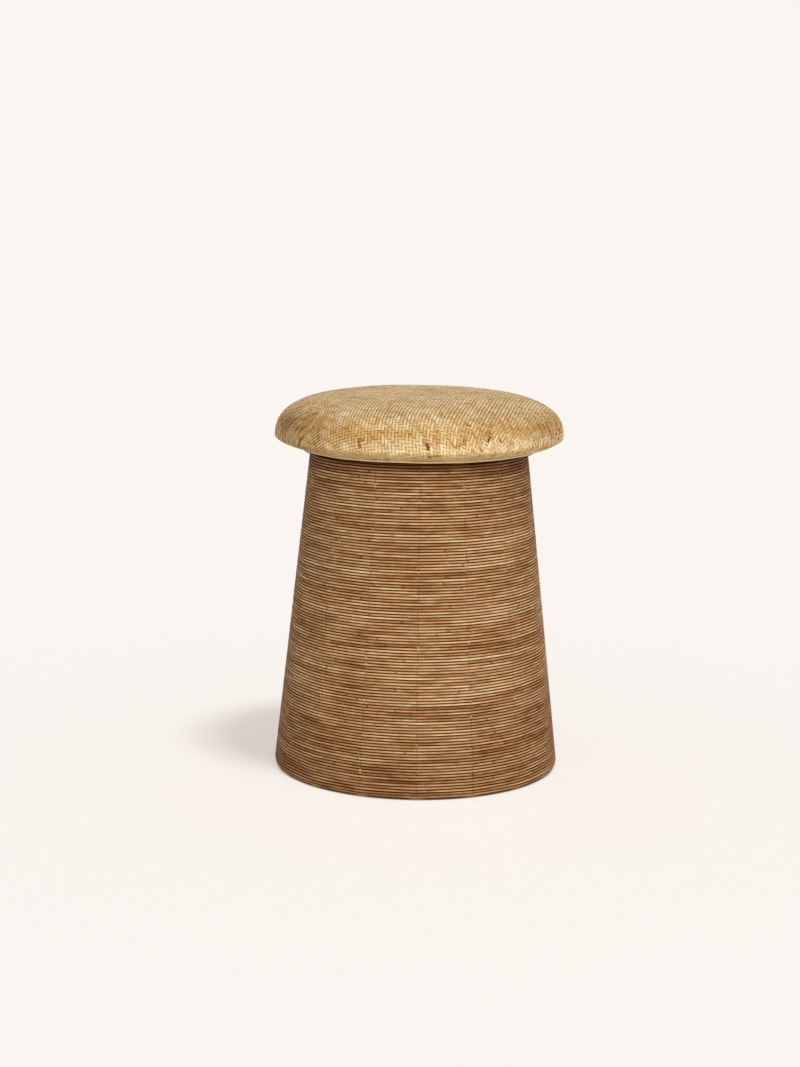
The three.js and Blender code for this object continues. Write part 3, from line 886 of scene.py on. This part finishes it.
def soil_and_shade(tree, colour, crossings, across, place, spot, crosswise):
    on_top = add(tree, "MapRange", {1: cap_crown - TOP_FROM, 2: cap_crown - TOP_FULL}, {0: spot[2]})
    off_middle = add(tree, "Math", {"operation": "SUBTRACT", 1: 0.5}, {0: across})
    off_middle = add(tree, "Math", {"operation": "ABSOLUTE"}, {0: off_middle})
    at_edge = add(tree, "MapRange", {1: 0.27, 2: 0.5}, {0: off_middle})
    dip = add(tree, "Math", {"operation": "PINGPONG", 1: 0.5}, {0: crossings})
    at_dip = add(tree, "MapRange", {1: 0.02, 2: 0.2, 3: 1.0, 4: 0.0}, {0: dip})
    layers = []
    # Where painted shade lies along the edges and dips, and how much of it on the sides and on top.
    for where, on_sides, on_crown in [(at_edge, 0.34, 0.8)] + ([(at_dip, 0.2, 0.85)] if crosswise else []):
        strength = add(tree, "MapRange", {3: on_sides, 4: on_crown}, {0: on_top})
        layers.append((add(tree, "Math", TIMES, {0: where, 1: strength}), "b09060"))
    # How brown the crowded ends are, partly dirt and partly painted shade, more on the left, and the
    # painted shade in their gaps.
    aside = add(tree, "Math", {"operation": "ABSOLUTE"}, {0: spot[0]})
    ends_dirt_and_shade = add(tree, "MapRange", {1: BROWN_FROM, 2: BROWN_FULL, 4: 0.36}, {0: aside})
    left_painted_shade = add(tree, "MapRange", {1: -LEFT_SHADE_FROM, 2: -LEFT_SHADE_FULL, 4: 0.38}, {0: spot[0]})
    ends_dirt_and_shade = add(tree, "Math", LARGER, {0: ends_dirt_and_shade, 1: left_painted_shade})
    below_top = add(tree, "MapRange", {3: 1.0, 4: 0.12}, {0: on_top})
    ends_dirt_and_shade = add(tree, "Math", TIMES, {0: ends_dirt_and_shade, 1: below_top})
    # Painted shade in the gaps at the crowded ends, broken up by a noise.
    end_gap_shade = add(tree, "TexNoise", {"Scale": GAPS_PER_METRE, "Detail": 2.0}, {"Vector": place})
    end_gap_shade = add(tree, "MapRange", {1: 0.4, 2: 0.56, 3: 0.6, 4: 2.4}, {0: end_gap_shade})
    end_gap_shade = add(tree, "Math", TIMES, {0: end_gap_shade, 1: ends_dirt_and_shade})
    end_gap_shade = add(tree, "Math", TIMES, {0: end_gap_shade, 1: at_edge if crosswise else at_dip})
    # Painted shade in the wrinkles' bottoms, which are where their count comes to a whole number.
    wrinkle_shade = add(tree, "Attribute", {"attribute_name": "crease_at"}).outputs["Fac"]
    wrinkle_shade = add(tree, "Math", {"operation": "PINGPONG", 1: 0.5}, {0: wrinkle_shade})
    wrinkle_shade = add(tree, "MapRange", {1: 0.08, 2: 0.19, 3: 1.0, 4: 0.0}, {0: wrinkle_shade})
    broken = add(tree, "TexNoise", {"Scale": BREAKS_PER_METRE, "Detail": 3.0}, {"Vector": place})
    broken = add(tree, "MapRange", {1: 0.42, 2: 0.56}, {0: broken})
    wrinkle_shade = add(tree, "Math", TIMES, {0: wrinkle_shade, 1: broken})
    at_end = add(tree, "MapRange", {1: WRINKLED_FROM, 2: WRINKLED_FULL, 4: 0.5}, {0: aside})
    # The left end's wrinkles are painted darker, as the side away from the light.
    left_end = add(tree, "MapRange", {1: -WRINKLED_FROM, 2: -WRINKLED_FULL}, {0: spot[0]})
    at_end = add(tree, "Math", LARGER, {0: at_end, 1: left_end})
    wrinkle_shade = add(tree, "Math", TIMES, {0: wrinkle_shade, 1: at_end})
    for where, hex_colour in (*layers, (ends_dirt_and_shade, "d0b478"), (end_gap_shade, "6a4826"), (wrinkle_shade, "7e5a34")):
        colour = add(tree, "Mix", TINT | {7: linear(hex_colour)}, {0: where, 6: colour})
    return colour


print("wrinkles are about", round(CREASE_SPACING / MM, 1), "mm apart")

# %% [markdown]
# The colour is painted lighter and darker with height: more golden on the shoulder than on the top,
# which stands in for the sheen that pales the top, and paler at the rim, which stands in for the light
# that the floor throws up. The skin's fine lines, about three to a millimetre, are drawn at twice their
# width so that they show.

# %% Make the split cane of the net
LINES_ACROSS = 9.0
# The rim is painted paler by this factor, as the light that the floor throws up, fading out this high.
RIM_GAIN, RIM_HIGH = 1.25, 30 * MM


def split_cane(name, crosswise):
    material, tree = new_material(name)
    uv = add(tree, "UVMap", {"uv_map": "along_strip"})
    crossings, across, _ = add(tree, "SeparateXYZ", links={0: uv}).outputs
    place = add(tree, "TexCoord").outputs["Object"]
    spot = add(tree, "SeparateXYZ", links={0: place}).outputs
    colour, slow, along_at = straw_colour(tree, crossings, place)
    colour = soil_and_shade(tree, colour, crossings, across, place, spot, crosswise)
    up_cap = add(tree, "MapRange", {1: cap_rim, 2: cap_crown}, {0: spot[2]})
    # Painted light: more golden on the shoulder than on the top, which a sheen pales, and paler at the rim.
    painted_light_band = add(tree, "ValToRGB", links={0: up_cap})
    set_ramp(painted_light_band, (0.00, "fffbe4"), (0.14, "fffdf0"), (0.28, "ffffff"), (0.52, "ecdab6"), (0.72, "ffffff"))
    with_painted_light = add(tree, "Mix", TINT | {0: 1.0}, {6: colour, 7: painted_light_band})
    rim_painted_light = add(tree, "MapRange", {1: cap_rim, 2: cap_rim + RIM_HIGH, 3: RIM_GAIN}, {0: spot[2]})
    shown = add(tree, "VectorMath", {"operation": "SCALE"}, {0: with_painted_light, 3: rim_painted_light})
    line_at = add(tree, "CombineXYZ", links={0: along_at, 1: across})
    line_at = add(tree, "VectorMath", TIMES | {1: (1.0, LINES_ACROSS, 1.0)}, {0: line_at})
    lines = add(tree, "TexNoise", NOISE_2D | {"Detail": 2.0}, {"Vector": line_at})
    bump = add(tree, "Bump", {"Strength": 0.3, "Distance": 0.2 * MM}, {"Height": lines})
    rough = add(tree, "MapRange", {1: 0.3, 2: 0.7, 3: 0.42, 4: 0.6}, {0: slow})
    shader = add(tree, "BsdfPrincipled", {"IOR": 1.5, "Specular IOR Level": 0.22}, {
        "Base Color": shown, "Roughness": rough, "Normal": bump,
    })
    add(tree, "OutputMaterial", links={"Surface": shader})
    return material


warp_skin = split_cane("split_cane_lengthwise", False)
weft_skin = split_cane("split_cane_crosswise", True)
for piece, skin in zip(net, (warp_skin, warp_skin, weft_skin, weft_skin)):
    finish_piece(piece, skin, "woven_cane", "woven_cover")

# %% [markdown]
# The form, the seat board and the poles are wood and thick cane. Their grain runs one way and is drawn
# with a noise that is stretched along it. One function makes such a finish from a few colours,
# because only the colours, the direction and the width of the grain differ.

# %% Make the woods
def grained(name, colours, grain, rough, gloss=0.5):
    """A wood or cane finish: grain gives how fine the pattern is along X, Y and Z, per metre."""
    material, tree = new_material(name)
    place = add(tree, "TexCoord").outputs["Object"]
    spread = add(tree, "Mapping", {"Scale": grain}, {"Vector": place})
    noise = add(tree, "TexNoise", {"Scale": 1.0, "Detail": 5.0, "Roughness": 0.6, "Distortion": 0.6}, {
        "Vector": spread,
    })
    ramp = add(tree, "ValToRGB", links={0: noise})
    set_ramp(ramp, *zip((0.3, 0.5, 0.7), colours))
    bump = add(tree, "Bump", {"Strength": 0.4, "Distance": 0.4 * MM}, {"Height": noise})
    shader = add(tree, "BsdfPrincipled", {"IOR": 1.5, "Roughness": rough, "Specular IOR Level": gloss}, {
        "Base Color": ramp, "Normal": bump,
    })
    add(tree, "OutputMaterial", links={"Surface": shader})
    return material


form_wood = grained("turned_softwood", ("8a5e2c", "ae7e42", "c49656"), (12.0, 160.0, 160.0), 0.7)
# The board's nearly black colour is partly a dark stain and partly painted shade.
board_ply_and_shade = grained("stained_plywood_and_painted_shade", ("24120a", "3a200e", "4a2c14"), (14.0, 220.0, 700.0), 0.75, 0.04)
slat_cane = grained("split_cane_slat", ("8c6236", "ad8350", "c9a26b"), (420.0, 420.0, 9.0), 0.6)
pole_cane = grained("peeled_cane_pole", ("8a6036", "a97d4a", "c29a66"), (60.0, 60.0, 260.0), 0.5)
binding_cane = grained("peeled_binding_cane", ("cdb183", "e6d3a8", "f2e6c8"), (70.0, 70.0, 300.0), 0.45)
finish_piece(form, form_wood, "turned_wood", "seat_form")

# %% [markdown]
# The seat board is a plywood disc, coloured nearly black, partly as a dark stain and partly as painted
# shade, so that its edge shows as the dark line under the cap. It starts as a round primitive, and a
# bevel modifier eases its two edges.

# %% Cut the seat board
BOARD_EDGE = 0.8 * MM
SHARPER_THAN = math.radians(35)
deselect_all()
bpy.ops.mesh.primitive_cylinder_add(
    vertices=192,
    radius=board_radius,
    depth=board_high - board_low,
    location=(0, 0, (board_high + board_low) / 2),
)
board = settle("plywood_seat_board")
ease = board.modifiers.new("eased_edge", "BEVEL")
ease.width = BOARD_EDGE
ease.segments = 3
ease.limit_method = "ANGLE"
bpy.ops.object.modifier_apply(modifier=ease.name)
bpy.ops.object.shade_smooth_by_angle(angle=SHARPER_THAN)
finish_piece(board, board_ply_and_shade, "plywood", "seat_board")

# %% [markdown]
# The net's cut edge is hidden by one more cane, bound round under the rim. It is paler than the rest,
# because it is skin side out and was never stained. It is a closed ring, so a torus is the quickest
# start, and small random moves take away the machined look.

# %% Bind the rim
BINDING_STRAY = 0.16 * MM
OUT_OF_ROUND = 0.0008
deselect_all()
bpy.ops.mesh.primitive_torus_add(
    major_radius=rim_radius,
    minor_radius=BINDING_RADIUS,
    major_segments=240,
    minor_segments=12,
    location=(0, 0, (binding_low + binding_high) / 2),
)
binding = settle("rim_binding_cane")
for vertex in binding.data.vertices:
    turn = math.atan2(vertex.co.y, vertex.co.x)
    vertex.co.z += BINDING_STRAY * (math.sin(7 * turn + 1) + 0.7 * math.sin(17 * turn))
    vertex.co.x *= 1 + OUT_OF_ROUND * math.sin(11 * turn)
    vertex.co.y *= 1 + OUT_OF_ROUND * math.sin(11 * turn)
bpy.ops.object.shade_smooth()
finish_piece(binding, binding_cane, "binding_cane", "rim_binding")

# %% [markdown]
# Inside the body, four poles of thick cane are bent into hoops. They can be seen from below. A torus
# gives the bent pole, and every hand's breadth a joint of the cane stands out as a low ring, which
# is made by moving out the vertices near it.

# %% Bend the hoops
POLE_RADIUS = 9.4 * MM
# A pole's middle lies this far inside its hoop's widest point.
POLE_SET_IN = 10 * MM
JOINT_SPACING = 0.19
JOINT_SWELL, JOINT_LENGTH = 0.7 * MM, 1.6 * MM
# Each hoop's joints start at another place, by this share of their spacing.
JOINT_START = 0.37
for index, node in enumerate(("foot_hoop", "lower_hoop", "upper_hoop", "neck_hoop")):
    outer, low, high = reach(node)
    middle, level = outer - POLE_SET_IN, (low + high) / 2
    deselect_all()
    bpy.ops.mesh.primitive_torus_add(
        major_radius=middle,
        minor_radius=POLE_RADIUS,
        major_segments=224,
        minor_segments=20,
        location=(0, 0, level),
    )
    pole = settle(f"bent_{node}")
    joints = round(FULL_TURN * middle / JOINT_SPACING)
    for vertex in pole.data.vertices:
        turn = math.atan2(vertex.co.y, vertex.co.x) / FULL_TURN * joints + JOINT_START * index
        away = abs((turn + 0.5) % 1 - 0.5) * FULL_TURN * middle / joints
        swell = JOINT_SWELL * math.exp(-((away / JOINT_LENGTH) ** 2))
        flat = Vector((vertex.co.x, vertex.co.y, 0)).normalized() * middle
        out = (vertex.co - Vector((flat.x, flat.y, level))).normalized()
        vertex.co += out * swell
    bpy.ops.object.shade_smooth()
    finish_piece(pole, pole_cane, "pole_cane", node)

# %% [markdown]
# The slats, glides and screws have the right shape in the CAD model, and only ends and undersides of
# them show. They keep their shape and get a finish. The glides are moulded plastic, a smooth dark
# brown with a faint texture. The screws are zinc-plated steel, with faint grey clouds.

# %% Finish the small pieces
def moulded_plastic():
    material, tree = new_material("moulded_plastic_brown")
    place = add(tree, "TexCoord").outputs["Object"]
    grain = add(tree, "TexNoise", {"Scale": 900.0, "Detail": 2.0}, {"Vector": place})
    ramp = add(tree, "ValToRGB", links={0: grain})
    set_ramp(ramp, (0.3, "2b241f"), (0.7, "3b322b"))
    bump = add(tree, "Bump", {"Strength": 0.2, "Distance": 0.1 * MM}, {"Height": grain})
    shader = add(tree, "BsdfPrincipled", {"Roughness": 0.5}, {"Base Color": ramp, "Normal": bump})
    add(tree, "OutputMaterial", links={"Surface": shader})
    return material


def plated_steel():
    material, tree = new_material("zinc_plated_steel")
    place = add(tree, "TexCoord").outputs["Object"]
    cloud = add(tree, "TexNoise", {"Scale": 400.0, "Detail": 3.0}, {"Vector": place})
    ramp = add(tree, "ValToRGB", links={0: cloud})
    set_ramp(ramp, (0.3, "9a978f"), (0.7, "c9c6bd"))
    rough = add(tree, "MapRange", {1: 0.3, 2: 0.7, 3: 0.28, 4: 0.45}, {0: cloud})
    shader = add(tree, "BsdfPrincipled", {"Metallic": 1.0}, {"Base Color": ramp, "Roughness": rough})
    add(tree, "OutputMaterial", links={"Surface": shader})
    return material


small_pieces = {"slat_": slat_cane, "glide_": moulded_plastic(), "seat_screw_": plated_steel()}
for name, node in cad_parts.items():
    for start, material in small_pieces.items():
        if name.startswith(start):
            set_material(node, material)
print("small pieces finished")
